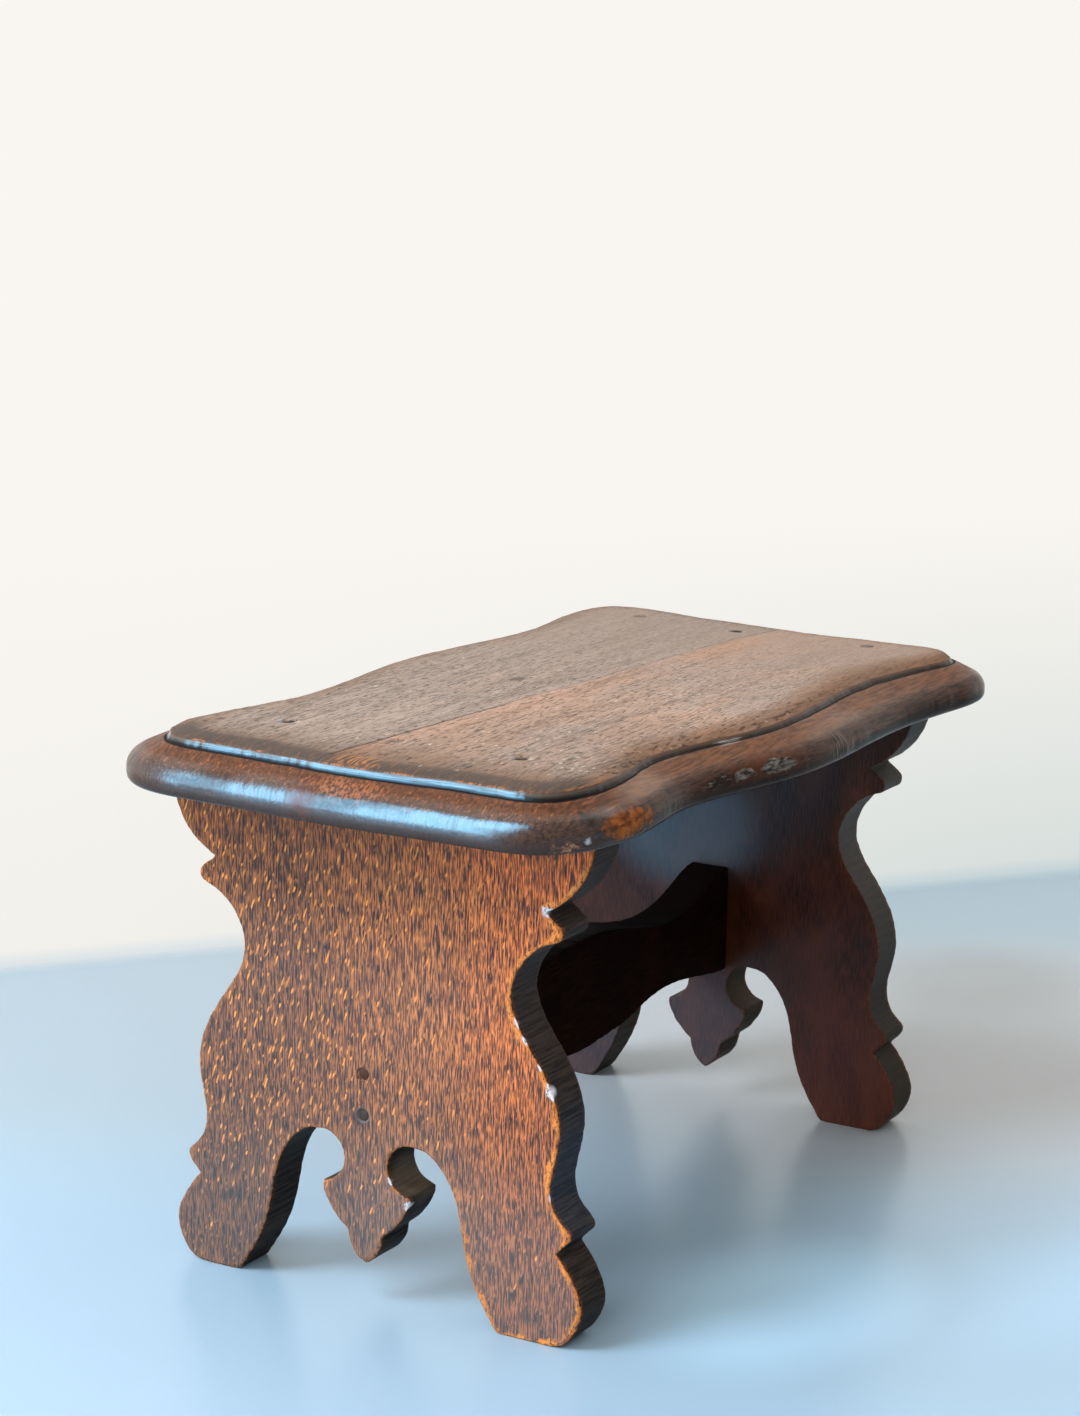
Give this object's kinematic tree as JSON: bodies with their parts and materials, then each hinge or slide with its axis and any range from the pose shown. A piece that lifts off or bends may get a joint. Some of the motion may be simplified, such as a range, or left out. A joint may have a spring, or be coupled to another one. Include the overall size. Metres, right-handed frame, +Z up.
{
  "type": "footstool",
  "caption": "Low wooden footstool with a thick seat with wavy moulded edges, scroll-sawn end boards with an arch and pendant, and a wavy stretcher.",
  "frame": {"origin": "on the floor under the middle of the seat, at the centre of the bounding box's bottom", "axes": "+X along the seat's length, +Y across it, +Z up"},
  "size_m": [0.3724, 0.2194, 0.215],
  "materials": {
    "seat_wood": "worn matt field, dark waxed edge",
    "board_wood": "stained and waxed",
    "stretcher_wood": "dark stain, satin",
    "nail_iron": "dark oxidised iron"
  },
  "bodies": {
    "root": {"seat_board_front": "seat_wood", "seat_board_back": "seat_wood", "end_board_left": "board_wood", "end_board_right": "board_wood", "stretcher": "stretcher_wood", "seat_nails": "nail_iron", "stretcher_nails": "nail_iron"}
  },
  "joints": []
}
